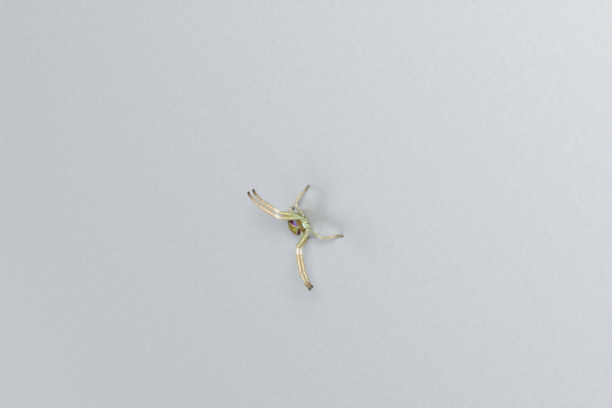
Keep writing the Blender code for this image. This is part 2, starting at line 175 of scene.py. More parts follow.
def addSurface(name, sheets, masks, material, nodes=()):
    # each sheet is a grid of rings in millimetres, closed round and closed at both ends by a
    # point; the OFBake map lays each sheet out flat, rings up the page, in a strip of its own.
    # A mask is a value or a grid for every sheet, or a list with one grid for each
    mesh = bpy.data.meshes.new(name)
    points, quads, triangles, quadMap, triangleMap = [], [], [], [], []
    start = 0
    for place, rings in enumerate(toWorld(sheet) for sheet in sheets):
        rows, columns = rings.shape[:2]

        def flat(wide, high):
            spots = [np.stack([(place + w / columns) / len(sheets), h + 0 * w], -1)
                     for w, h in zip(wide, high)]
            return np.stack(spots, -2).reshape(-1, 2)

        ring, after, faces = ringFaces(start, rows, columns)
        ends = start + rows * columns
        quads.append(faces)
        triangles.append(np.stack([after[0], ring[0], np.full(columns, ends)], -1))
        triangles.append(np.stack([ring[-1], after[-1], np.full(columns, ends + 1)], -1))
        points += [rings.reshape(-1, 3), rings[:1].mean(1), rings[-1:].mean(1)]
        start = ends + 2
        row, column = np.indices((rows - 1, columns))
        edge = column[0]
        step = (1 - 2 * bakeEdge) / (rows - 1)
        up = bakeEdge + step * row
        quadMap.append(flat((column, column + 1, column + 1, column),
                            (up, up, up + step, up + step)))
        triangleMap.append(flat((edge + 1, edge, edge + 0.5), (bakeEdge, bakeEdge, 0)))
        triangleMap.append(flat((edge, edge + 1, edge + 0.5), (1 - bakeEdge, 1 - bakeEdge, 1)))
    quads = np.vstack(quads)
    made = fillMesh(mesh, np.vstack(points), quads, np.vstack(triangles))
    layout = [np.vstack(quadMap).reshape(-1, 4, 2), np.vstack(triangleMap).reshape(-1, 3, 2)]
    if made[0] != quads[0, 0]:
        layout = [part[:, ::-1] for part in layout]
    addLayout(mesh, np.vstack([part.reshape(-1, 2) for part in layout]))
    for maskName, values in masks.items():
        values = values if isinstance(values, list) else [values] * len(sheets)
        grids = [np.broadcast_to(v, sheet.shape[:2]) for v, sheet in zip(values, sheets)]
        filled = [np.append(grid.ravel(), [grid[0].mean(), grid[-1].mean()]) for grid in grids]
        addMask(mesh, maskName, np.concatenate(filled))
    addPiece(name, mesh, material, nodes)


def addHairs(name, found, width, curl, material):
    # every hair is a three-sided taper along root + length * (share * out + curl * share^2 *
    # lie). Each entry found holds roots, ways out, ways they lie, lengths, shades and places
    # on the skin's own layout, where each hair gets a patch 0.003 across
    roots, out, lie, lengths, shade, layout = (np.concatenate(part) for part in zip(*found))
    roots, lengths = toWorld(roots)[:, None], (lengths * mm)[:, None, None]
    shares, thick = np.array([0.0, 0.4, 0.75]), (1.0, 0.8, 0.45)
    across = unit(np.cross(out, lie))
    turns = evenTurns(3)
    circle = around(turns, across[:, None], np.cross(unit(out), across)[:, None])

    def line(share):
        return roots + lengths * (share * out[:, None] + curl * share ** 2 * lie[:, None])

    rings = [line(share) + circle * part * (width * mm) / 2 for share, part in zip(shares, thick)]
    points = np.concatenate([*rings, line(1.0)], axis=1)
    count, size = points.shape[:2]
    ring, after, quads = ringFaces(0, 3, 3)
    ends = np.vstack([np.stack([ring[2], after[2], np.full(3, 9)], -1), ring[:1, ::-1]])
    offset = (np.arange(count) * size)[:, None, None]
    mesh = bpy.data.meshes.new(name)
    made = fillMesh(mesh, points.reshape(-1, 3), (quads + offset).reshape(-1, 4),
                    (ends + offset).reshape(-1, 3))
    patch = 0.0015
    disc = np.stack([np.cos(turns), np.sin(turns)], -1)
    spread = np.vstack([disc, disc * 0.7, disc * 0.4, [[0.0, 0.0]]])
    spot = np.clip(layout, 2 * patch, 1 - 2 * patch)[:, None] + patch * spread
    addLayout(mesh, spot.reshape(-1, 2)[made])
    addMask(mesh, "tip", np.tile(np.append(np.repeat(shares, 3), 1.0), count))
    addMask(mesh, "shade", np.repeat(shade, size))
    addPiece(name, mesh, material)
    print(name, "made:", count)


# Materials

hornIor = 1.54


def linear(code):
    # an sRGB hex colour as linear red, green, blue and full alpha
    parts = [int(code[k:k + 2], 16) / 255 for k in (1, 3, 5)]
    return (*(p / 12.92 if p <= 0.04045 else ((p + 0.055) / 1.055) ** 2.4 for p in parts), 1.0)


def perLength(size):
    # a texture scale that gives features of that size in millimetres
    return 1 / (size * mm)


def addNode(tree, kind, inputs=None, **settings):
    # one node; an input is a value or the output that feeds it
    node = tree.nodes.new("ShaderNode" + kind)
    for name, value in settings.items():
        setattr(node, name, value)
    for name, value in (inputs or {}).items():
        if isinstance(value, bpy.types.NodeSocket):
            tree.links.new(value, node.inputs[name])
        else:
            node.inputs[name].default_value = value
    return node


def startMaterial(name, constants):
    material = bpy.data.materials.new(name)
    material.use_nodes = True
    shader = material.node_tree.nodes["Principled BSDF"]
    for socket, value in constants.items():
        shader.inputs[socket].default_value = value
    return material, material.node_tree, shader


def cuticle(name, look):
    # thin hard skin over pale flesh: a soft satin shine, and light sinks in a little way.
    # Over the base colour lie coats of pigment, and on the legs and abdomen also coats of painted
    # highlight, sheen and shade, each held by one of the surface's masks with a ragged edge, then
    # a net of fine creases, freckles, pale granules and a mottle.
    material, tree, shader = startMaterial(name, {
        "IOR": hornIor, "Specular IOR Level": look["shine"], "Subsurface Weight": look["sink"],
        "Subsurface Radius": (1.0, 0.82, 0.5), "Subsurface Scale": 0.25 * mm})
    place = addNode(tree, "TexCoord").outputs["Object"]
    ragged = addNode(tree, "TexNoise", {
        "Vector": place, "Scale": perLength(look["rag"]), "Detail": 4.0, "Roughness": 0.6})
    # layers from the lowest up: a pattern, the span of it that counts, how strongly the colour
    # lies at both ends of that span, the colour and how the strength runs between the ends
    layers = []
    for mask, code, strength, rag, low, high in look["coats"]:
        held = addNode(tree, "Attribute", attribute_name=mask).outputs["Fac"]
        torn = addNode(tree, "Math", {
            0: ragged.outputs["Fac"], 1: rag, 2: held}, operation="MULTIPLY_ADD").outputs[0]
        layers.append((torn, low + rag / 2, high + rag / 2, 0.0, strength, code, "SMOOTHSTEP"))
    size, code, strength = look["net"]
    wavy = addNode(tree, "VectorMath", {
        0: ragged.outputs["Color"], 1: (size * 1.2 * mm,) * 3, 2: place},
        operation="MULTIPLY_ADD").outputs[0]
    net = addNode(tree, "TexVoronoi", {"Vector": wavy, "Scale": perLength(size)},
                  feature="DISTANCE_TO_EDGE").outputs["Distance"]
    layers.append((net, 0.0, 0.16, strength, 0.0, code, "SMOOTHSTEP"))
    size, code, strength = look["freckle"]
    spots = addNode(tree, "TexVoronoi", {"Vector": wavy, "Scale": perLength(size)}).outputs
    some = addNode(tree, "MapRange", {"Value": spots["Color"], "From Min": 0.35,
                                      "From Max": 0.75, "To Min": 0.0, "To Max": strength})
    layers.append((spots["Distance"], 0.12, 0.30, some.outputs[0], 0.0, code, "SMOOTHSTEP"))
    size, code, strength = look["granule"]
    cells = addNode(tree, "TexVoronoi", {
        "Vector": place, "Scale": perLength(size)}).outputs["Distance"]
    layers.append((cells, 0.15, 0.6, strength, 0.0, code, "LINEAR"))
    pebbles = addNode(tree, "Bump", {
        "Height": cells, "Strength": look["pebble"], "Distance": size * 0.25 * mm})
    size, code, strength = look["mottle"]
    mottle = addNode(tree, "TexNoise", {
        "Vector": place, "Scale": perLength(size), "Detail": 3.0}).outputs["Fac"]
    layers.append((mottle, 0.45, 0.75, 0.0, strength, code, "LINEAR"))
    colour = addNode(tree, "RGB").outputs[0]
    colour.default_value = linear(look["base"])
    for pattern, low, high, start, end, code, curve in layers:
        factor = addNode(tree, "MapRange", {
            "Value": pattern, "From Min": low, "From Max": high, "To Min": start,
            "To Max": end}, interpolation_type=curve).outputs[0]
        colour = addNode(tree, "Mix", {
            0: factor, 6: colour, 7: linear(code)}, data_type="RGBA").outputs[2]
    gloss = addNode(tree, "MapRange", {
        "Value": mottle, "From Min": 0.3, "From Max": 0.7,
        "To Min": look["roughness"] - 0.07, "To Max": look["roughness"] + 0.07})
    wrinkles = addNode(tree, "Bump", {
        "Height": ragged.outputs["Fac"], "Strength": look["wrinkle"],
        "Distance": look["rag"] * 0.3 * mm, "Normal": pebbles.outputs[0]})
    tree.links.new(colour, shader.inputs["Base Color"])
    tree.links.new(gloss.outputs[0], shader.inputs["Roughness"])
    tree.links.new(wrinkles.outputs[0], shader.inputs["Normal"])
    return material


def bristleHorn(name, root, tip, dark):
    # stiff hair of clear horn: a bright thin gleam, straw at the root and browner where the
    # skin below is dark
    material, tree, shader = startMaterial(name, {"Roughness": 0.35, "IOR": hornIor})
    colour = linear(root)
    for mask, code in (("tip", tip), ("shade", dark)):
        share = addNode(tree, "Attribute", attribute_name=mask).outputs["Fac"]
        colour = addNode(tree, "Mix", {
            0: share, 6: colour, 7: linear(code)}, data_type="RGBA").outputs[2]
    tree.links.new(colour, shader.inputs["Base Color"])
    return material


def patchy(name, size, first, second, constants):
    # two colours that run into each other in patches of that size
    material, tree, shader = startMaterial(name, constants)
    place = addNode(tree, "TexCoord").outputs["Object"]
    patches = addNode(tree, "TexNoise", {"Vector": place, "Scale": perLength(size)})
    colour = addNode(tree, "Mix", {
        0: patches.outputs["Fac"], 6: linear(first), 7: linear(second)}, data_type="RGBA")
    tree.links.new(colour.outputs[2], shader.inputs["Base Color"])
    return material


def clawHorn(name, code):
    # solid dark horn: hard, smooth and polished by use, a little redder in patches
    return patchy(name, 0.08, code, "#6A3A1C", {"Roughness": 0.25, "IOR": hornIor})


def eyeLens():
    # a clear hard lens over a black-brown cup: very dark, with a small sharp gleam
    return patchy("eyeLens", 0.06, "#0C0807", "#2A150C", {
        "Roughness": 0.05, "IOR": 1.5, "Coat Weight": 1.0, "Coat Roughness": 0.03})


# The body's own frame: millimetres across, ahead and up of the front half's centre

body = {"height": 3.6, "pitch": 8.0}
head = {"length": 3.1, "width": 3.2, "top": 0.98, "bottom": 0.72, "bluntFace": 0.46,
        "bluntRear": 0.80, "narrowing": 0.30}
abdomen = {"length": 4.8, "width": 4.8, "height": 4.0, "back": 3.85, "pitch": 7.0,
           "rest": 0.06, "swellBack": 0.17}


def abdomenPlace(share, turn):
    # an egg in millimetres, waist end at share 0 and tip at 1: half a width and half a height
    # that follow a disc, the width fuller behind the middle
    along, disc = np.cos(math.pi * share), np.sin(math.pi * share)
    halfWidth = abdomen["width"] / 2 * disc ** 0.80 * (1 - abdomen["swellBack"] * along)
    full = np.where(np.sin(turn) > 0, disc ** 0.75 * (1 - 0.06 * along), disc ** 0.85)
    across = halfWidth * signedPower(np.cos(turn), 0.95)
    up = abdomen["height"] / 2 * full * signedPower(np.sin(turn), 0.92)
    ahead = abdomen["length"] / 2 * along
    pitch = math.radians(abdomen["pitch"])
    level = abdomen["height"] / 2 - abdomen["rest"]
    return np.stack([across, abdomen["back"] - ahead * math.cos(pitch) + up * math.sin(pitch),
                     level + ahead * math.sin(pitch) + up * math.cos(pitch)], -1)


# where the CAD has put the body: its midline, and the shift along it
abdomenLow, abdomenHigh = (np.array(corner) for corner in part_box("abdomen"))
coarse = np.meshgrid(np.linspace(0.03, 0.97, 19), np.linspace(0, fullTurn, 31), indexing="ij")
shift = np.array([(abdomenLow[0] + abdomenHigh[0]) / 2,
                  abdomenHigh[1] - abdomenPlace(*coarse)[..., 1].max() * mm, 0.0])


def toWorld(points):
    return np.asarray(points) * mm + shift


def bodyPlace(side, ahead, up):
    # millimetres in the body's own pitched frame, turned into millimetres of the model
    pitch = math.radians(body["pitch"])
    reach = ahead * math.cos(pitch) - up * math.sin(pitch)
    height = body["height"] + ahead * math.sin(pitch) + up * math.cos(pitch)
    return np.stack(np.broadcast_arrays(side, -reach, height), -1).astype(float)


def onBody(points):
    return bodyPlace(*np.moveaxis(points, -1, 0))


def bodyWay(side, heading, rise):
    # a direction: heading 0 points out to its own side and 90 ahead, the rise is above level
    heading, rise = np.radians(heading), np.radians(rise)
    return np.array([side * math.cos(rise) * math.cos(heading),
                     -math.cos(rise) * math.sin(heading), math.sin(rise)])


def headLocal(share, turn):
    # face at share 0 and waist at 1: half a width and a height that follow a disc, blunt and
    # narrower at the face
    along, disc = np.cos(math.pi * share), np.sin(math.pi * share)
    blunt = disc ** np.where(along > 0, head["bluntFace"], head["bluntRear"])
    halfWidth = head["width"] / 2 * blunt * (
        1 - head["narrowing"] * np.maximum(along, 0) ** 1.2)
    height = np.where(np.sin(turn) > 0, head["top"], head["bottom"]) * blunt
    return np.stack([halfWidth * signedPower(np.cos(turn), 0.85),
                     head["length"] / 2 * along,
                     height * signedPower(np.sin(turn), 0.9)], -1)


# Eyes: share of the way to the waist, turn over the head in degrees, radius and the height of
# the mound that carries the eye
eyes = {
    "front_middle": (0.145, 78, 0.095, 0.10),
    "front_side": (0.175, 56, 0.125, 0.13),
    "back_middle": (0.235, 79, 0.085, 0.08),
    "back_side": (0.280, 52, 0.115, 0.12),
}


def eyeSpots():
    # every eye's place on the bare head, its outward way, its size and its mound
    spots = {}
    step = 0.01
    for name, (share, turn, radius, rise) in eyes.items():
        for side, word in sides:
            angle = math.radians(turn if side > 0 else 180 - turn)
            here = headLocal(share, angle)
            back = headLocal(share + step, angle) - headLocal(share - step, angle)
            over = headLocal(share, angle + step) - headLocal(share, angle - step)
            way = unit(np.cross(back, over))
            spots[name, word] = (here, way if way @ here > 0 else -way, radius, rise)
    return spots


# Carapace

carapace = {
    "rows": 210, "columns": 230, "carinaShare": 0.092, "carinaHeight": 0.055,
    # furrows that fan out from a pit in the middle of the back
    "pit": -0.55, "pitDepth": 0.05, "rays": (0.62, 1.15, 1.65, 2.2), "furrow": 0.022,
    # a groove above the hips with a rim over it, and the edge of the plate below
    "groove": 0.03, "rim": 0.022, "plate": 0.03, "swell": 0.006,
    # each layer of a look as feature size in millimetres, colour and strength
    "look": {
        "base": "#9EA882", "rag": 0.22, "granule": (0.045, "#EEF2E2", 0.06),
        "mottle": (0.5, "#8E9660", 0.35), "net": (0.20, "#6F7440", 0.20),
        "freckle": (0.30, "#5E5426", 0.55), "roughness": 0.46, "pebble": 0.35,
        "wrinkle": 0.40, "sink": 0.08, "shine": 0.3,
        # mask, colour, strength, raggedness, where the mask starts and is full
        "coats": (
            ("under", "#C4C2A0", 0.9, 0.2, 0.2, 0.8),
            ("middle", "#C6CC9E", 0.80, 0.5, 0.2, 0.8),
            ("sides", "#7A6422", 0.92, 0.7, 0.30, 0.85),
            ("streaks", "#48300E", 0.90, 0.6, 0.35, 0.85),
            ("eyeField", "#9C7410", 0.97, 0.7, 0.05, 0.95),
            ("eyeField", "#321A04", 0.90, 1.6, 0.8, 1.2),
            ("margin", "#C8D0B4", 0.80, 0.5, 0.3, 0.9),
            ("clypeus", "#BACCB0", 0.90, 0.5, 0.1, 1.0),
            ("whiteBand", "#D8EAFF", 1.0, 0.3, 0.22, 0.55),
            ("eyeRing", "#D2C898", 0.80, 0.3, 0.3, 0.7),
        ),
    },
}


def makeCarapace(spots):
    # the head surface, lifted along its normals by a ridge over the face, a mound for each
    # eye, shallow furrows that fan out from the middle and a groove above the hips
    share, turn = sheetGrid(0.012, 0.988, carapace["rows"], carapace["columns"])
    local = headLocal(share, turn)
    side, ahead = np.moveaxis(local, -1, 0)[:2]
    height = np.sin(turn)
    top = smoothStep(height, 0.05, 0.3)
    ridgeSpan = smoothStep(height, 0.30, 0.62)
    lift = carapace["carinaHeight"] * hump(share, carapace["carinaShare"], 0.016) * ridgeSpan
    eyeRing = np.zeros_like(share)
    for (name, word), (here, way, radius, rise) in spots.items():
        away = np.linalg.norm(local - here, axis=-1)
        lift = np.maximum(lift, rise * np.exp(-(away / (radius * 1.7)) ** 3))
        if name.endswith("side"):
            eyeRing = np.maximum(eyeRing, np.exp(-(away / (radius * 1.6)) ** 4))
    behind = ahead - carapace["pit"]
    ray, far = np.arctan2(np.abs(side), behind), np.hypot(side, behind)
    fan = sum(hump(ray, angle, 0.10) for angle in carapace["rays"])
    fan = fan * between(far, 0.25, 0.6, 1.0, 1.5) * top
    overHips = smoothStep(share, 0.12, 0.25)
    plate = hump(np.hypot(side / 0.75, (ahead + 0.1) / 1.05), 1.0, 0.10)
    lift = (lift - carapace["furrow"] * fan
            - carapace["pitDepth"] * hump(side, 0, 0.05) * hump(behind, 0, 0.16) * top
            - carapace["groove"] * hump(height, -0.10, 0.07) * overHips
            + carapace["rim"] * hump(height, 0.08, 0.07) * overHips
            - carapace["plate"] * plate * smoothStep(-height, 0.3, 0.6)
            + carapace["swell"] * ripple(local, 0.5, 3))
    local = lifted(local, lift)
    aside = np.abs(side) + 0.12 * ripple(local, 0.35, 5)
    spread = 0.64 + 0.30 * (ahead + 1.3) / 2.6
    masks = {
        "under": smoothStep(-height, -0.05, 0.25),
        "middle": top * np.exp(-(side / (0.30 + 0.10 * (ahead + 1))) ** 4)
        * (1 - smoothStep(ahead, -0.1, 0.6)),
        "sides": top * hump(aside, spread, 0.32) * between(ahead, -1.35, -0.9, 0.9, 1.2),
        "streaks": fan * hump(aside, 0.62, 0.35),
        "eyeField": top * between(share, 0.12, 0.15, 0.42, 0.66)
        * smoothStep(height, 0.15, 0.55) * (1 - 0.4 * hump(side, 0, 0.10)),
        "margin": hump(height, 0.10, 0.09) * smoothStep(share, 0.10, 0.2),
        "clypeus": 1 - smoothStep(share, 0.050, 0.110),
        "whiteBand": hump(share, carapace["carinaShare"] - 0.004, 0.024) * ridgeSpan,
        "eyeRing": eyeRing,
    }
    addSurface("carapaceSkin", [onBody(local)], masks,
               cuticle("carapaceCuticle", carapace["look"]), ["cephalothorax"])
    print("carapace made")


def makeEyes(spots):
    # each lens is a ball cut off below: rings from its buried rim up to its pole
    lens = eyeLens()
    angles = np.linspace(-0.6, math.pi / 2 - 0.03, 18)[:, None, None]
    for (name, word), (here, way, radius, rise) in spots.items():
        across = unit(np.cross(way, [0.3, 0.2, 0.93]))
        circle = around(evenTurns(28), across, np.cross(way, across))
        rings = (here + way * (rise - radius * 0.28)
                 + radius * (np.sin(angles) * way + np.cos(angles) * circle))
        addSurface(f"eye_{name}_{word}_lens", [onBody(rings)], {}, lens,
                   [f"eye_{name}_{word}"])
    print("eyes made")


# Tubes: a profile carried along a path

def roundedPath(joints, bend):
    # straight lengths joined by quadratic arcs that start a bend's length before each joint
    points, marks = [joints[:1]], [0]
    share = np.linspace(0, 1, 17)[:, None]
    for before, joint, after in zip(joints, joints[1:], joints[2:]):
        start = joint + unit(before - joint) * bend
        end = joint + unit(after - joint) * bend
        points.append((1 - share) ** 2 * start + 2 * share * (1 - share) * joint
                      + share ** 2 * end)
        marks.append(sum(len(p) for p in points) - 9)
    points = np.vstack([*points, joints[-1:]])
    reach = reachAlong(points)
    return points, np.append(reach[marks], reach[-1])


def roundedStations(end, cap, count, capCount=8, last=1.5):
    # even steps up to the cap's length, then ever shorter ones over the rounded tip
    return np.append(np.linspace(0, end - cap, count),
                     end - cap * (1 - np.sin(np.linspace(0.2, last, capCount))))


class Tube:
    # a path with a thickness along it, and a belly side that the section is turned to; the
    # widths are known at these stations, or evenly from end to end
    def __init__(self, points, belly, widths, tipLength, known=None):
        self.points, self.reach, self.belly = points, reachAlong(points), unit(np.array(belly))
        self.length, self.widths, self.tipLength = self.reach[-1], widths, tipLength
        self.known = np.linspace(0, self.length, len(widths)) if known is None else known

    def frame(self, stations):
        # centre, way ahead, belly side and right side at each station
        probe = 0.04
        centre, low, high = (np.stack([np.interp(stations + d, self.reach, self.points[:, k])
                                       for k in range(3)], -1) for d in (0, -probe, probe))
        ahead = unit(high - low)
        belly = unit(self.belly - (ahead @ self.belly)[:, None] * ahead)
        return centre, ahead, belly, np.cross(ahead, belly)

    def radius(self, stations):
        # half the width, closed like a ball over the tip's length
        near = np.clip((self.length - stations) / self.tipLength, 0, 1)
        return np.interp(stations, self.known, self.widths) / 2 * np.sqrt(1 - (1 - near) ** 2)

    def rings(self, stations, turns, scale=1.0):
        centre, ahead, belly, right = self.frame(stations)
        circle = around(turns, belly[:, None], right[:, None])
        return centre[:, None] + circle * (self.radius(stations)[:, None] * scale)[..., None]

    def spots(self, stations, turns, scale=1.0, sunk=0.97):
        # hair roots on the skin, with their way out and the way ahead
        centre, ahead, belly, right = self.frame(stations)
        out = around(turns, belly, right)
        return centre + out * (self.radius(stations) * scale)[:, None] * sunk, out, ahead


def straightTube(start, end, belly, widths, tipLength, known=None):
    return Tube(np.linspace(start, end, 12), belly, widths, tipLength, known)


# Legs, pair by pair: the hip's angle round the body and its drop below the middle, the lengths
# from femur to tarsus, then for each side the heading and the rise of the coxa and of every
# length. The last length of a standing leg has no rise of its own and falls to the floor

legs = {
    "leg1": ((32, 0.3), (5.3, 1.8, 3.8, 2.9, 1.5), {
        "left": ((40, 30), (-5, 64), (-40, 17), (-32, 18), (8, 22), (26, 19)),
        "right": ((40, 30), (36, 70), (5, 31), (0, 19), (9, 7), (31, 4))}),
    "leg2": ((2, 0.3), (4.4, 1.7, 3.5, 2.7, 1.4), {
        "left": ((5, 20), (-16, 52), (-31, 19), (-41, 11), (26, 25), (29, 17)),
        "right": ((5, 20), (35, 63), (4, 29), (0, 18), (8, 9), (34, 8))}),
    "leg3": ((-24, 0.45), (3.4, 1.0, 1.9, 1.6, 1.3), {
        "left": ((60, -27), (20, 22), (30, -2), (36, -48), (42, -70), (52, None)),
        "right": ((60, -22), (53, 9), (66, -14), (74, -22), (60, -62), (56, None))}),
    "leg4": ((-58, 0.3), (2.6, 1.0, 1.8, 1.3, 1.0), {
        "left": ((-46, 12), (-8, -1), (-74, -36), (-104, -42), (-112, -44), (-114, None)),
        "right": ((-48, 12), (-22, -2), (-60, -26), (-84, -50), (-94, -52), (-96, None))}),
}
# thickness along the coxa, femur, patella, tibia, metatarsus and tarsus
armThickness = (
    ((0.0, 0.84), (1.0, 0.72)), ((0.10, 0.70), (0.38, 0.98), (0.75, 0.90), (1.0, 0.76)),
    ((0.45, 0.84), (1.0, 0.72)), ((0.30, 0.76), (0.65, 0.68), (1.0, 0.56)),
    ((0.20, 0.54), (1.0, 0.46)), ((0.40, 0.45), (1.0, 0.34)))
hindThickness = (
    ((0.0, 0.70), (1.0, 0.62)), ((0.12, 0.62), (0.42, 0.80), (1.0, 0.58)),
    ((0.50, 0.60), (1.0, 0.54)), ((0.35, 0.56), (1.0, 0.50)),
    ((0.40, 0.50), (1.0, 0.46)), ((0.50, 0.44), (1.0, 0.36)))
hips = {"ring": (1.25, 1.2), "coxa": 1.10, "bend": 0.26, "ringGap": 0.045, "floor": 0.008}
# the soft waist at each joint and the swellings before and after it: depth as a share of the
# radius, place beside the joint and width
jointShape = ((-0.13, 0.02, 0.10), (0.05, -0.24, 0.13), (0.04, 0.24, 0.14))

armLook = {
    "base": "#D9CFBB", "rag": 0.18, "granule": (0.05, "#F8F0DE", 0.22),
    "mottle": (0.6, "#A8946A", 0.40), "net": (0.20, "#9C8C58", 0.22),
    "freckle": (0.34, "#6E5A2A", 0.55), "roughness": 0.42, "pebble": 0.30, "wrinkle": 0.30,
    "sink": 0.10, "shine": 0.5,
    "coats": (
        ("thigh", "#A39D46", 0.92, 0.9, 0.15, 0.9),
        ("thigh", "#7C7A34", 0.45, 2.2, 1.0, 1.9),
        # painted highlight: a pale stripe down the femur on the side the camera sees
        ("paintedThighHighlight", "#CCCAAE", 0.92, 0.8, 0.2, 0.9),
        ("hipGreen", "#B2C3A4", 0.92, 0.9, 0.1, 0.95),
        ("hipGreen", "#6C7A48", 0.40, 2.2, 1.0, 1.9),
        # ochre lines: partly stripes, partly painted shade near the leg's edges as the camera sees
        # them
        ("ochreAndEdgeShadeLine", "#B4963A", 0.92, 0.9, 0.15, 0.9),
        # painted highlight: a pale whitish patch round the knee
        ("kneeHighlight", "#E4E3E2", 0.80, 0.9, 0.2, 1.0),
        ("fold", "#94713A", 0.75, 0.5, 0.3, 1.0),
        ("tan", "#936322", 0.90, 0.5, 0.2, 1.0),
        ("foot", "#22110A", 0.95, 0.3, 0.2, 0.7),
    ),
}
hindLook = dict(armLook, base="#C4BEA8", coats=(
    ("thigh", "#A3AD8C", 0.90, 0.9, 0.15, 0.9),
    ("thigh", "#6A7446", 0.50, 2.2, 1.0, 1.9),
    # painted highlight: a pale stripe down the femur on the side the camera sees
    ("paintedThighHighlight", "#D8DECE", 0.80, 0.8, 0.25, 0.9),
    ("hipGreen", "#B0BBA2", 0.85, 0.6, 0.1, 0.9),
    # painted highlight: a pale bluish-white patch round the knee
    ("kneeHighlight", "#D8E0E6", 0.85, 0.8, 0.2, 0.9),
    ("fold", "#A0875A", 0.5, 0.4, 0.3, 1.0),
    # ochre lines: partly stripes, partly painted shade near the leg's edges as the camera sees
    # them
    ("ochreAndEdgeShadeLine", "#AD9A68", 0.60, 0.4, 0.3, 1.0),
    ("tan", "#8A7A52", 0.85, 0.5, 0.2, 0.9),
    ("foot", "#6E5432", 0.75, 0.3, 0.3, 1.0),
))
# the painted highlight down the femur and the ochre lines along the legs: degrees from the belly
# side towards the side that the camera sees, and half a width in degrees
paintedThighHighlight = (-28, 30)
# two ochre lines lie near the edges that the camera sees: partly stripes, partly painted shade
# that leaves the middle as a painted highlight line; the third lies on the far side
ochreAndEdgeShadeLines = ((-14, 24), (-116, 24), (112, 20))
# where along the leg the green of the hip gives way to the painted highlight stripe, on the left
# and the right
highlightStart = {1: (1.15, 1.60), -1: (0.95, 1.30)}


def legTube(pair, side, word):
    # the leg's path in millimetres and where each joint lies along it
    hip, lengths, ways = legs[pair]
    coxa, *ways = ways[word]
    stands = ways[-1][1] is None
    ring = math.radians(hip[0])
    start = bodyPlace(side * hips["ring"][0] * math.cos(ring),
                      hips["ring"][1] * math.sin(ring), -hip[1])
    joints = [start, start + hips["coxa"] * bodyWay(side, *coxa)]
    for length, (heading, rise) in zip(lengths, ways):
        if rise is None:
            rise = -math.degrees(math.asin(min(joints[-1][2] / length, 0.95)))
        joints.append(joints[-1] + length * bodyWay(side, heading, rise))
    thickness = hindThickness if stands else armThickness
    if stands:
        joints[-1] = joints[-1] + unit(joints[-1] - joints[-2]) * thickness[-1][-1][1] / 2
    points, marks = roundedPath(np.array(joints), hips["bend"])
    known, widths = [], []
    for steps, low, high in zip(thickness, marks, marks[1:]):
        known += [low + share * (high - low) for share, width in steps]
        widths += [width for share, width in steps]
    belly = (-0.5 * side, 0.0, -0.85) if stands else (0.0, -0.85, -0.50)
    tube = Tube(points, belly, widths, 0.22, known)
    tube.marks, tube.side, tube.stands = marks, side, stands
    return tube


def legDetail(tube, stations):
    # the waists and swellings of all the joints, as a share of the radius
    return 1 + sum(depth * hump(stations, mark + place, width)
                   for mark in tube.marks[1:-1] for depth, place, width in jointShape)


def makeLeg(pair, side, word, skins):
    # one unbroken tube from inside the body to the tip of the foot
    tube = legTube(pair, side, word)
    end = tube.length
    stations = roundedStations(end, 0.15, int(end / hips["ringGap"]), last=math.pi / 2 - 0.1)
    turns = evenTurns(36)
    scale = legDetail(tube, stations)[:, None] * (1 + 0.035 * np.cos(2 * turns))
    rings = tube.rings(stations, turns, scale)
    rings = lifted(rings, 0.010 * ripple(rings, 0.9, 11))
    if tube.stands:
        rings[..., 2] = np.maximum(rings[..., 2], hips["floor"])
    limb = np.interp(stations, tube.marks, np.arange(len(tube.marks)))[:, None]
    sideways = np.degrees((turns * tube.side + math.pi) % fullTurn - math.pi)
    sideways = sideways + 4 * ripple(rings, 0.8, 12)

    def stripe(centre, width):
        return hump((sideways - centre + 180) % 360 - 180, 0, width)

    green = highlightStart[tube.side]
    thigh = between(limb, 0.95, 1.3, 1.90, 2.04)
    masks = {
        "thigh": thigh,
        # painted highlight: a pale stripe down the femur, centred on the side the camera sees
        "paintedThighHighlight": thigh * stripe(*paintedThighHighlight) * smoothStep(limb, *green),
        "hipGreen": 1 - smoothStep(limb, 1.0, green[1] + 0.15),
        # ochre lines: partly stripes, partly painted shade near the edges the camera sees, framing
        # a painted highlight line
        "ochreAndEdgeShadeLine": smoothStep(limb, 2.1, 3.1) * np.maximum.reduce(
            [stripe(*line) for line in ochreAndEdgeShadeLines]),
        # painted highlight: a pale patch round the knee
        "kneeHighlight": hump(limb, 2.42, 0.50),
        "fold": sum(hump(stations, mark + 0.02, 0.08) for mark in tube.marks[1:-1])[:, None],
        "tan": smoothStep(limb, 4.0, 5.4 if tube.stands else 5.7),
        "foot": smoothStep(stations, end - 0.70, end - 0.30)[:, None],
    }
    nodes = [f"{pair}_{word}_{part}" for part in ("femur", "tibia", "tarsus")]
    addSurface(f"{pair}_{word}_skin", [rings], masks, skins[tube.stands], nodes)
    return tube


# Hairs, spines and claws of the legs

coat = {
    "armHairs": 900, "hindHairs": 420, "hairLength": (0.18, 0.42), "hairWidth": 0.022,
    "hairCurl": 0.25, "hairClear": 0.05, "hairLift": (22, 48), "hairSway": 0.15,
    # pairs of spines under the tibia and the metatarsus, and shares along the femur's front
    "spinePairs": {3: 5, 4: 6}, "spineSpan": (0.16, 0.90), "spineTurn": 0.42,
    "femurSpines": (0.45, 0.6, 0.75), "femurTurn": 0.9, "spineLength": (0.46, 0.66),
    "spineWidth": 0.056, "spineLift": 38, "spineCurl": 0.10,
    "tuftHairs": 90, "tuftLength": (0.10, 0.20), "tuftWidth": 0.022, "tuftCurl": 0.2,
    "tuftClear": 0.03, "tuftSpan": (0.42, 0.05), "tuftShade": {True: 0.15, False: 0.9},
    "clawWidths": (0.075, 0.012), "clawReach": 0.20, "clawDrop": 0.10, "clawApart": 0.055,
    "clawLevel": 0.13,
}


def hairLayout(place, count, turns, along):
    # the hairs' places on a page that so many tubes share in strips
    return np.stack([(place + turns % fullTurn / fullTurn) / count, along], -1)


def offFloor(hairs, curl, clear):
    # only the hairs that stay that far above the floor from root to tip
    roots, way, lie, long = hairs[:4]
    tips = roots + (way + curl * lie) * long[:, None]
    kept = np.minimum(roots, tips)[:, 2] > clear
    return [part[kept] for part in hairs]


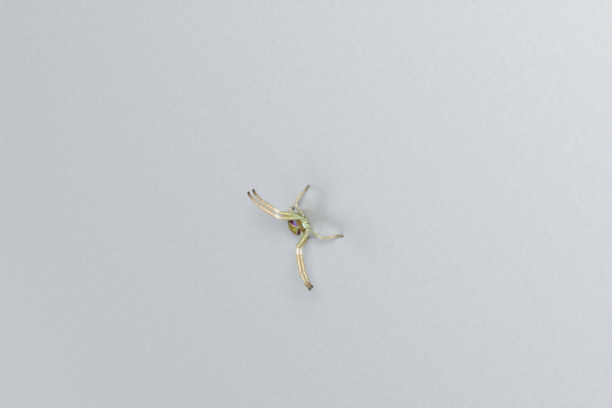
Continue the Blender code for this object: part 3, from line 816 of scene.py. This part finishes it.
def makeLegHairs(tubes, material):
    # short hairs that lie towards the foot, thicker on the outer lengths
    found = []
    for place, tube in enumerate(tubes):
        count = coat["hindHairs"] if tube.stands else coat["armHairs"]
        end, hip = tube.length, tube.marks[1]
        stations = draw.uniform(0, 1, count) ** 0.75 * (end - hip) + hip
        turns = draw.uniform(0, fullTurn, count)
        roots, out, ahead = tube.spots(stations, turns, legDetail(tube, stations))
        lift = np.radians(draw.uniform(*coat["hairLift"], count))[:, None]
        sway = np.cross(out, ahead) * draw.normal(0, coat["hairSway"], count)[:, None]
        way = unit(out * np.sin(lift) + ahead * np.cos(lift) + sway)
        long = draw.uniform(*coat["hairLength"], count)
        dark = smoothStep(stations, end - 3.0, end - 0.4)
        layout = hairLayout(place, len(tubes), turns, stations / end)
        found.append(offFloor((roots, way, ahead, long, dark, layout), coat["hairCurl"],
                              coat["hairClear"]))
    addHairs("legHairs", found, coat["hairWidth"], coat["hairCurl"], material)


def makeSpines(tubes):
    # the strong spines in two rows under the tibia and the metatarsus of the long legs, with
    # a few on the femur's front
    found = []
    arms = [tube for tube in tubes if not tube.stands]
    lift = math.radians(coat["spineLift"])
    for place, tube in enumerate(arms):
        spots = [(tube.marks[part], tube.marks[part + 1], share + 0.02 * way,
                  way * coat["spineTurn"])
                 for part, pairs in coat["spinePairs"].items()
                 for share in np.linspace(*coat["spineSpan"], pairs) for way in (-1, 1)]
        spots += [(tube.marks[1], tube.marks[2], share, coat["femurTurn"] * tube.side)
                  for share in coat["femurSpines"]]
        low, high, share, turns = np.array(spots).T
        stations = low + share * (high - low)
        roots, out, ahead = tube.spots(stations, turns, legDetail(tube, stations))
        way = unit(out * math.sin(lift) + ahead * math.cos(lift))
        long = draw.uniform(*coat["spineLength"], len(roots))
        layout = hairLayout(place, len(arms), turns, stations / tube.length)
        found.append([roots, way, ahead, long, np.zeros(len(roots)), layout])
    addHairs("legSpines", found, coat["spineWidth"], coat["spineCurl"],
             bristleHorn("spineHorn", "#9A7438", "#4A2C12", "#3A2412"))


def makeFeet(tubes):
    # two hooked claws at each tip, and a dense dark pad of hairs under them
    claws, found = [], []
    shares = np.linspace(0, 1, 9)[:, None]
    for place, tube in enumerate(tubes):
        end = tube.length
        centre, ahead, belly, right = (part[0] for part in tube.frame(np.array([end - 0.10])))
        if tube.stands:
            ahead = unit(ahead * [1, 1, 0.12])
            belly = unit(np.array([0, 0, -1.0]) + ahead * ahead[2])
            right = np.cross(ahead, belly)
            centre = centre * [1, 1, 0] + [0, 0, coat["clawLevel"]]
        for way in (-1, 1):
            path = (centre + ahead * 0.04 + right * way * coat["clawApart"]
                    + coat["clawReach"] * np.sin(shares * 1.5)
                    * unit(ahead + right * way * 0.25)
                    + coat["clawDrop"] * shares ** 2.2 * belly)
            claw = Tube(path, belly + 0.01, coat["clawWidths"], 0.1)
            claws.append(claw.rings(np.linspace(0, claw.length * 0.995, 12), evenTurns(8)))
        count = coat["tuftHairs"]
        first, last = coat["tuftSpan"]
        stations = draw.uniform(end - first, end - last, count)
        turns = draw.normal(0, 0.9, count)
        roots, out, forward = tube.spots(stations, turns, legDetail(tube, stations))
        way = unit(out * 0.8 + forward * 0.75 + draw.normal(0, 0.12, (count, 3)))
        long = draw.uniform(*coat["tuftLength"], count)
        dark = np.full(count, coat["tuftShade"][tube.stands])
        layout = hairLayout(place, len(tubes), turns, stations / end)
        found.append(offFloor((roots, way, forward, long, dark, layout), coat["tuftCurl"],
                              coat["tuftClear"]))
    addSurface("claws", claws, {}, clawHorn("clawHorn", "#1C0F08"))
    addHairs("footPads", found, coat["tuftWidth"], coat["tuftCurl"],
             bristleHorn("footPadHair", "#84643E", "#A58455", "#1E1008"))
    print("claws and foot pads made")


# Face: jaws with their fangs, palps, and the lobes behind the jaws

jaw = {"root": (0.42, 1.26, -0.22), "lean": (-0.03, 0.05), "length": 0.84,
       "width": 0.68, "tip": 0.42, "fangWidths": (0.12, 0.02),
       # the fang's straight way and the hook that is added to it
       "fangWay": (-0.18, 0.02, -0.16), "fangHook": (-0.06, 0.10, 0.10)}
palp = {"root": (0.78, 0.92, -0.42), "bend": 0.16,
        "lengths": ((0.42, 60, -6), (0.30, 82, -46), (0.40, 98, -80)),
        "widths": (0.40, 0.40, 0.42, 0.30), "hairs": 120, "hairLength": (0.12, 0.26),
        "hairWidth": 0.016, "hairCurl": 0.2, "hairShade": 0.4}
faceLook = {
    "base": "#AEBF9E", "rag": 0.14, "granule": (0.04, "#F0F4E4", 0.30),
    "mottle": (0.35, "#8E8A4C", 0.50), "net": (0.18, "#7E8450", 0.3),
    "freckle": (0.25, "#6A5A2C", 0.6), "roughness": 0.42, "pebble": 0.3, "wrinkle": 0.3,
    "sink": 0.12, "shine": 0.4,
    "coats": (
        ("tip", "#7C4A1E", 0.88, 0.5, 0.2, 0.9),
        ("flank", "#CBDABF", 0.6, 0.4, 0.3, 0.9),
    ),
}


def makeJaws(material):
    # each jaw is a stout cone, fullest near its root and flatter on its inner side; its fang
    # is a thin hooked cone folded in towards the other
    fangs = []
    across, ahead, up = jaw["root"]
    inward, forward = jaw["lean"]
    swing = np.linspace(0, 1, 10)[:, None]
    for side, word in sides:
        start = bodyPlace(side * across, ahead, up + 0.1)
        end = bodyPlace(side * (across + inward), ahead + forward, up - jaw["length"])
        length = np.linalg.norm(end - start)
        tube = straightTube(
            start, end, (-side, 0.0, 0.0),
            [jaw["width"], jaw["width"] + 0.06, jaw["tip"] + 0.12, jaw["tip"]], 0.2,
            [0, 0.3 * length, 0.8 * length, length])
        stations = roundedStations(length, 0.12, 60)
        turns = evenTurns(40)
        inner = 1 - 0.10 * hump((turns + math.pi) % fullTurn - math.pi, 0, 0.7)
        rings = tube.rings(stations, turns, inner[None])
        rings = lifted(rings, 0.008 * ripple(rings, 0.3, 21))
        share = (stations / length)[:, None]
        masks = {"tip": smoothStep(share, 0.70, 0.98),
                 "flank": hump(share, 0.45, 0.3) * (0.5 - 0.5 * np.cos(turns))}
        addSurface(f"chelicera_{word}_skin", [rings], masks, material,
                   [f"chelicera_{word}"])
        path = (bodyPlace(side * (across + inward + 0.03), ahead + forward + 0.05,
                          up - jaw["length"] + 0.06)
                + swing * np.array(jaw["fangWay"]) * [side, 1, 1]
                + swing ** 2 * np.array(jaw["fangHook"]) * [side, 1, 1])
        fang = Tube(path, (0.0, 1.0, 0.1), jaw["fangWidths"], 0.05)
        fangs.append(fang.rings(np.linspace(0, fang.length * 0.99, 24), evenTurns(14)))
    addSurface("fangs", fangs, {}, clawHorn("fangHorn", "#3C1C0E"))
    print("jaws made")


def makePalps(material):
    # three short lengths, bent down at the knee, with a blunt hairy last one
    tubes = []
    across, ahead, up = palp["root"]
    for side, word in sides:
        joints = [bodyPlace(side * across, ahead, up)]
        for length, heading, rise in palp["lengths"]:
            joints.append(joints[-1] + length * bodyWay(side, heading, rise))
        points, marks = roundedPath(np.array(joints), palp["bend"])
        tube = Tube(points, (-0.6 * side, 0.4, -0.7), palp["widths"], 0.16, marks)
        stations = roundedStations(tube.length, 0.1, 70)
        waists = 1 - sum(0.12 * hump(stations, mark, 0.06) for mark in marks[1:-1])
        share = (stations / tube.length)[:, None]
        masks = {"tip": smoothStep(share, 0.88, 1.0), "flank": hump(share, 0.4, 0.35)}
        addSurface(f"palp_{word}_skin", [tube.rings(stations, evenTurns(28), waists[:, None])],
                   masks, material, [f"palp_{word}"])
        tubes.append(tube)
    print("palps made")
    return tubes


def makePalpHairs(tubes, material):
    found = []
    for place, tube in enumerate(tubes):
        count = palp["hairs"]
        stations = tube.length * (0.35 + 0.63 * draw.uniform(0, 1, count))
        turns = draw.uniform(0, fullTurn, count)
        roots, out, ahead = tube.spots(stations, turns, sunk=0.95)
        way = unit(out * 0.6 + ahead * 0.8)
        long = draw.uniform(*palp["hairLength"], count)
        layout = hairLayout(place, len(tubes), turns, stations / tube.length)
        found.append([roots, way, ahead, long, np.full(count, palp["hairShade"]), layout])
    addHairs("palpHairs", found, palp["hairWidth"], palp["hairCurl"], material)


# Mouth lobes on each side, the lip between them and the waist
lobes = (((0.36, 0.95, -0.68), (0.30, 0.42, 0.26)), ((-0.36, 0.95, -0.68), (0.30, 0.42, 0.26)),
         ((0.0, 0.72, -0.70), (0.17, 0.30, 0.17)))
waist = {"start": (0, -1.1, -0.18), "drop": 0.4, "width": 0.8, "rings": 3}


def makeMouthAndWaist(material):
    # each lobe is a ball with its own radius each way; the waist is a tube with low rings
    share, turn = sheetGrid(0.03, 0.97, 22, 30)
    disc = np.sin(math.pi * share)
    globe = np.stack([disc * np.cos(turn), np.cos(math.pi * share), disc * np.sin(turn)], -1)
    sheets = [onBody(np.array(centre) + globe * radii) for centre, radii in lobes]
    start = bodyPlace(*waist["start"])
    end = np.array([0.0, abdomen["back"] - abdomen["length"] * 0.36, start[2] - waist["drop"]])
    tube = straightTube(start, end, (0.0, 0.0, -1.0), [waist["width"]] * 2, 0.05)
    stations = np.linspace(0, tube.length * 0.99, 40)
    low = 1 - 0.06 * np.cos(stations / tube.length * fullTurn * waist["rings"])
    sheets.append(tube.rings(stations, evenTurns(32), low[:, None]))
    addSurface("mouthLobesAndWaist", sheets, {"tip": 0.0, "flank": 0.0}, material)
    print("mouth lobes and waist made")


# Abdomen

abdomenSkin = {
    "rows": 230, "columns": 250,
    "look": {
        "base": "#9A8608", "rag": 0.26, "granule": (0.07, "#B3A224", 0.14),
        "mottle": (0.8, "#4A3E08", 0.55), "net": (0.30, "#54460E", 0.30),
        "freckle": (0.42, "#463408", 0.55), "roughness": 0.56, "pebble": 0.45,
        "wrinkle": 0.55, "sink": 0.05, "shine": 0.2,
        "coats": (
            ("under", "#B3AC6C", 0.85, 0.4, 0.2, 0.9),
            ("sides", "#A8963A", 0.6, 0.6, 0.2, 0.9),
            ("chevrons", "#C6BE86", 0.70, 0.7, 0.3, 0.9),
            ("heart", "#BCC97C", 0.90, 0.8, 0.05, 1.0),
            ("paleLine", "#E9E6EE", 0.92, 0.5, 0.30, 0.7),
            ("band", "#7C4258", 0.97, 0.8, 0.25, 0.75),
            # painted sheen: violet over the front bands, mostly on one side, with a pale lilac
            # patch beside it
            ("violetSheen", "#BC74E8", 0.97, 0.5, 0.20, 0.65),
            ("lilacSheen", "#CFC9FF", 1.0, 0.4, 0.12, 0.42),
            # darker maroon: the rear bands' own colour, and painted shade on the front band of the
            # side without the sheen
            ("deepRearAndShadedSide", "#6A3A46", 0.90, 0.6, 0.35, 0.9),
            ("pits", "#4A3A12", 0.7, 0.3, 0.3, 0.9),
        ),
    },
    # pits where muscles pull the skin in: share from the waist, degrees off the midline
    "pits": ((0.31, 2), (0.36, 19), (0.49, 24), (0.62, 22)), "pitDepth": 0.06,
    # long folds on the flanks, cross folds behind and the furrow across the belly
    "flankFold": 0.018, "rearFold": 0.022, "bellyFold": 0.05,
    # the bands' centre and half width in degrees off the midline, at shares of the length
    "bandPath": ((0.20, 16), (0.25, 22), (0.31, 33), (0.38, 43), (0.46, 49), (0.60, 49),
                 (0.75, 40), (0.92, 30)),
    "bandWidth": ((0.20, 9), (0.30, 14), (0.42, 13), (0.55, 9), (0.75, 8), (0.92, 10)),
    # how far the pattern leans, and the share of the length from one rear spot to the next
    "lean": 8, "spotStart": 0.53, "spotGap": 0.105,
}


def makeAbdomen():
    # the egg, lowered along its normals by muscle pits, by long folds on the flanks and by
    # cross folds behind; flat where it rests
    share, turn = sheetGrid(0.010, 0.990, abdomenSkin["rows"], abdomenSkin["columns"])
    egg = abdomenPlace(share, turn)
    off = np.degrees((turn - math.pi / 2 + math.pi) % fullTurn - math.pi)
    lean = np.abs(off)
    pits = np.maximum.reduce([
        np.exp(-np.hypot((share - place) / 0.022, (lean - angle) / 3.6) ** 2)
        for place, angle in abdomenSkin["pits"]])
    flank = hump(lean, 100, 28) * between(share, 0.12, 0.3, 0.8, 0.95)
    flank = flank * np.sin(np.radians(lean) * 26 + 1.5 * ripple(egg, 1.6, 33))
    rear = between(share, 0.66, 0.85, 0.95, 0.99)
    rear = rear * np.sin(share * 150 + 0.8 * ripple(egg, 1.2, 34))
    lift = (0.012 * ripple(egg, 1.0, 31) + 0.006 * ripple(egg, 0.4, 32)
            - abdomenSkin["pitDepth"] * pits + abdomenSkin["flankFold"] * flank
            + abdomenSkin["rearFold"] * rear
            - abdomenSkin["bellyFold"] * hump(share, 0.30, 0.010) * smoothStep(lean, 130, 145))
    rings = lifted(egg, lift)
    rings[..., 2] = np.maximum(rings[..., 2], hips["floor"])
    # the bands leave the waist close to the middle, swing out over the shoulders and close in
    # again on the tail, broken into spots there; the whole pattern leans a little to one side
    ragged = 2.5 * ripple(egg, 0.7, 35) + 1.5 * ripple(egg, 0.3, 36)
    turned = off - abdomenSkin["lean"] * (1 - smoothStep(share, 0.5, 0.9))
    away = np.abs(turned) + ragged
    # the side of the front bands that carries the painted sheen; the band is also drawn wider
    # there
    sheenSide = smoothStep(-turned, -5, 5)
    middle = np.interp(share, *zip(*abdomenSkin["bandPath"]))
    width = np.interp(share, *zip(*abdomenSkin["bandWidth"]))
    width = width * (1 + 0.45 * sheenSide * (1 - smoothStep(share, 0.4, 0.55)))
    wave = fullTurn / abdomenSkin["spotGap"]
    past = share - abdomenSkin["spotStart"]
    gaps = np.clip(0.56 + 0.44 * np.cos(past * wave) + 0.35 * ripple(egg, 0.7, 37), 0, 1)
    broken = 1 - smoothStep(share, 0.47, 0.56) * (1 - gaps)
    band = np.exp(-(np.abs(away - middle) / width) ** 3) * broken
    band = band * between(share, 0.15, 0.22, 0.88, 0.95)
    rib = 0.5 + 0.5 * np.cos((past - 0.001 * lean) * wave)
    patch = np.maximum(
        hump(away, middle + width * 0.8, 5),
        (1 - smoothStep(share, 0.27, 0.33)) * smoothStep(away, middle - 3, middle + 8))
    masks = {
        "under": smoothStep(lean, 105, 135),
        "sides": between(lean, 66, 88, 105, 130),
        "chevrons": hump(lean, 20, 20) * rib * between(share, 0.46, 0.60, 0.88, 0.95),
        "heart": hump(turned, 7, 12) * between(share, 0.27, 0.36, 0.42, 0.54),
        "paleLine": hump(away, middle - width - 3.5, 4.5) * between(share, 0.15, 0.22, 0.48, 0.62),
        "band": band,
        # a little violet on both sides, the rest painted sheen on one side, and a pale lilac patch
        # of painted sheen
        "violetSheen": band * (0.15 + 0.85 * sheenSide) * (1 - smoothStep(share, 0.31, 0.41)),
        "lilacSheen": between(share, 0.15, 0.19, 0.33, 0.50) * sheenSide * patch
        * (1 - smoothStep(lean + ragged, 46, 64)),
        # darker rear bands, and painted shade on the front band of the side without the sheen
        "deepRearAndShadedSide": band * 0.8 * (smoothStep(share, 0.30, 0.42) + 1 - sheenSide),
        "pits": pits,
    }
    addSurface("abdomenSkin", [rings], masks, cuticle("abdomenCuticle", abdomenSkin["look"]),
               ["abdomen"])
    print("abdomen made")
    return rings, outwards(rings), band


# the cones stand so many widths off the middle and end further out; a share of their length is
# sunk in the ring, and their widths are known at shares of it
tail = {"length": 0.60, "width": 0.34, "share": 0.90, "fall": 28, "gap": 0.3, "rootWidth": 0.85,
        "spread": 0.60, "splay": 1.2, "sunk": 0.3, "coneWidths": (1, 0.85, 0.66, 0.5),
        "coneStations": (0, 0.55, 0.62, 1), "look": dict(
            abdomenSkin["look"], base="#B6A757", granule=(0.04, "#B3A224", 0.14),
            coats=(("tip", "#5E3E16", 0.85, 0.4, 0.45, 1.1),))}


def makeTail():
    # three pairs of blunt two-jointed cones on a low ring
    skin = abdomenPlace(np.array(tail["share"]), np.array(-math.pi / 2))
    fall = math.radians(tail["fall"])
    out = np.array([0.0, math.cos(fall), -math.sin(fall)])
    coneRoot = skin + out * (tail["gap"] + tail["length"] * tail["sunk"])
    across = np.array([1.0, 0.0, 0.0])
    other = np.cross(out, across)
    base = straightTube(skin - out * 0.35, coneRoot + out * 0.02, across + 0.01,
                        [1.25, tail["rootWidth"] * 1.05, tail["rootWidth"]], 0.14, [0, 0.6, 0.95])
    stations = roundedStations(base.length, 0.12, 30)
    sheets = [base.rings(stations, evenTurns(40), (1 + 0.03 * np.sin(stations * 40))[:, None])]
    for angle in range(30, 390, 60):
        lean = math.radians(angle)
        offset = (math.cos(lean) * across + math.sin(lean) * other) * tail["width"]
        offset = offset * tail["spread"]
        start = coneRoot + offset - out * tail["length"] * tail["sunk"]
        end = coneRoot + offset * tail["splay"] + out * tail["length"] * (1 - tail["sunk"])
        length = np.linalg.norm(end - start)
        cone = straightTube(start, end, across + 0.02,
                            [tail["width"] * part for part in tail["coneWidths"]], 0.10,
                            [part * length for part in tail["coneStations"]])
        sheets.append(cone.rings(roundedStations(length, 0.08, 26, 6), evenTurns(20)))
    shares = [np.linspace(0, 1, len(sheet))[:, None] for sheet in sheets]
    addSurface("spinneretSkin", sheets, {"tip": shares},
               cuticle("spinneretCuticle", tail["look"]), ["spinnerets"])
    print("spinnerets made")


# Hairs of the body

bodyCoat = {"abdomenHairs": 1800, "backHairs": 130, "length": (0.18, 0.38), "width": 0.020,
            "backLength": (0.22, 0.45), "curl": 0.3, "tipClear": 0.05, "rootClear": 0.12,
            "backShade": 0.35}


def makeAbdomenHairs(rings, normals, band, material):
    # sparse stiff hairs that lean back on the abdomen
    rows, columns = rings.shape[:2]
    count = bodyCoat["abdomenHairs"]
    row, column = draw.integers(8, rows - 8, count), draw.integers(0, columns, count)
    roots, out = rings[row, column], normals[row, column]
    back = unit(rings[np.minimum(row + 3, rows - 1), column] - roots)
    way = unit(out * 0.75 + back * 0.65 + draw.normal(0, 0.12, roots.shape))
    long = draw.uniform(*bodyCoat["length"], count)
    layout = np.stack([column / columns, row / rows], -1)
    kept = (((roots + way * long[:, None])[:, 2] > bodyCoat["tipClear"])
            & (roots[:, 2] > bodyCoat["rootClear"]))
    hairs = (roots - 0.01 * way, way, back, long, band[row, column], layout)
    addHairs("abdomenHairs", [[part[kept] for part in hairs]], bodyCoat["width"],
             bodyCoat["curl"], material)


def makeCarapaceHairs(spots, material):
    # a few hairs that lean forward on the head, clear of the eyes
    count = bodyCoat["backHairs"]
    share, turn = draw.uniform(0.10, 0.85, count), draw.uniform(0.35, math.pi - 0.35, count)
    local = headLocal(share, turn)
    step = 0.01
    over = headLocal(share, turn + step) - local
    along = headLocal(share + step, turn) - local
    out = unit(np.cross(over, along))
    out = out * np.sign((out * local).sum(-1, keepdims=True))
    kept = np.all([np.linalg.norm(local - here, axis=-1) > radius * 1.8
                   for here, way, radius, rise in spots.values()], axis=0)
    forward = unit(-along)
    way = unit(out * 0.8 + forward * 0.6 + draw.normal(0, 0.08, local.shape))
    long = draw.uniform(*bodyCoat["backLength"], count)
    level = bodyPlace(0, 0, 0)
    hairs = (onBody(local), onBody(way) - level, onBody(forward) - level, long,
             np.full(count, bodyCoat["backShade"]), np.stack([turn / fullTurn, share], -1))
    addHairs("carapaceHairs", [[part[kept] for part in hairs]], bodyCoat["width"],
             bodyCoat["curl"], material)


# Camera, at the photograph's angle: the frame is turned with the spider's body

view = {"azimuth": 10.0, "elevation": 33.0, "lens": 100.0, "sensor": 36.0, "clip": (0.01, 10.0),
        # the picture's width in millimetres at the spider, how far it is turned, the pixel that
        # shows the middle of the body, and the picture's size in pixels
        "width": 136.0, "turn": (-0.52, -0.85), "bodyPixel": (302.4, 225.1), "size": (612, 408)}


def poseAt(piece, right, up, back, origin):
    # turns the piece's own axes to these ways and moves it to the origin given
    axes = np.eye(4)
    axes[:3] = np.stack([right, up, back, origin], -1)
    piece.matrix_world = Matrix(axes.tolist())


def makeCamera():
    azimuth, elevation = math.radians(view["azimuth"]), math.radians(view["elevation"])
    right = np.array([math.cos(azimuth), math.sin(azimuth), 0.0])
    back = np.array([math.sin(azimuth) * math.cos(elevation),
                     -math.cos(azimuth) * math.cos(elevation), math.sin(elevation)])
    along, aside = view["turn"]
    pictureRight = unit(along * right + aside * np.cross(back, right))
    pictureUp = np.cross(back, pictureRight)
    off = (np.array(view["size"]) / 2 - view["bodyPixel"]) * view["width"] / view["size"][0]
    middle = bodyPlace(0, 0, 0) + pictureRight * off[0] - pictureUp * off[1]
    distance = view["width"] * view["lens"] / view["sensor"]
    data = bpy.data.cameras.new("camera")
    data.lens, data.sensor_width = view["lens"], view["sensor"]
    data.clip_start, data.clip_end = view["clip"]
    camera = addObject("camera", data)
    poseAt(camera, pictureRight, pictureUp, back, toWorld(middle + back * distance))
    bpy.context.scene.camera = camera
    print("camera set")


stage = {"floor": "#C3C6CA", "grain": "#CFD2D5", "floorSize": 3.0, "world": "#E4EAF2",
         "worldStrength": 0.31, "viewTransform": "Khronos PBR Neutral"}
# lamps: place in metres, edge length, power, colour
lamps = {
    "keyLamp": ((0.17, -0.48, 0.28), 0.16, 3.5, "#FFFCF8"),
    "fillLamp": ((-0.46, -0.22, 0.30), 0.40, 0.5, "#EEF3FF"),
    "rimLamp": ((-0.05, 0.46, 0.40), 0.30, 1.5, "#FFFFFF"),
}


def makeStage():
    half = stage["floorSize"] / 2
    mesh = bpy.data.meshes.new("floor")
    mesh.from_pydata([(-half, -half, 0), (half, -half, 0), (half, half, 0), (-half, half, 0)],
                     [], [(0, 1, 2, 3)])
    floor = addObject("floor", mesh)
    # matt painted board: flat, with a barely seen roller grain
    mesh.materials.append(patchy("paintedBoard", 1.5, stage["floor"], stage["grain"],
                                 {"Roughness": 0.85}))
    world = bpy.data.worlds.new("studio")
    bpy.context.scene.world = world
    world.use_nodes = True
    sky = world.node_tree.nodes["Background"]
    sky.inputs["Color"].default_value = linear(stage["world"])
    sky.inputs["Strength"].default_value = stage["worldStrength"]
    for name, (place, size, power, code) in lamps.items():
        data = bpy.data.lights.new(name, "AREA")
        data.size, data.energy, data.color = size, power, linear(code)[:3]
        axis = unit(np.array(place))
        side = unit(np.cross([0.0, 0.0, 1.0], axis))
        poseAt(addObject(name, data), side, np.cross(axis, side), axis, place)
    # shows pigments close to the colours that they are given here
    bpy.context.scene.view_settings.view_transform = stage["viewTransform"]
    print("stage set")


makeCamera()
makeStage()
eyePlaces = eyeSpots()
makeCarapace(eyePlaces)
makeEyes(eyePlaces)
legSkins = {False: cuticle("armCuticle", armLook), True: cuticle("hindLegCuticle", hindLook)}
legTubes = [makeLeg(pair, side, word, legSkins) for pair in legs for side, word in sides]
print("legs made")
paleBristle = bristleHorn("paleBristle", "#C9B98A", "#E8DDBB", "#4A2E14")
makeLegHairs(legTubes, paleBristle)
makeSpines(legTubes)
makeFeet(legTubes)
faceSkin = cuticle("faceCuticle", faceLook)
makeJaws(faceSkin)
makePalpHairs(makePalps(faceSkin), paleBristle)
makeMouthAndWaist(faceSkin)
abdomenRings, abdomenNormals, abdomenBand = makeAbdomen()
makeTail()
bodyBristle = bristleHorn("bodyBristle", "#A89450", "#D6C894", "#54321C")
makeAbdomenHairs(abdomenRings, abdomenNormals, abdomenBand, bodyBristle)
makeCarapaceHairs(eyePlaces, bodyBristle)
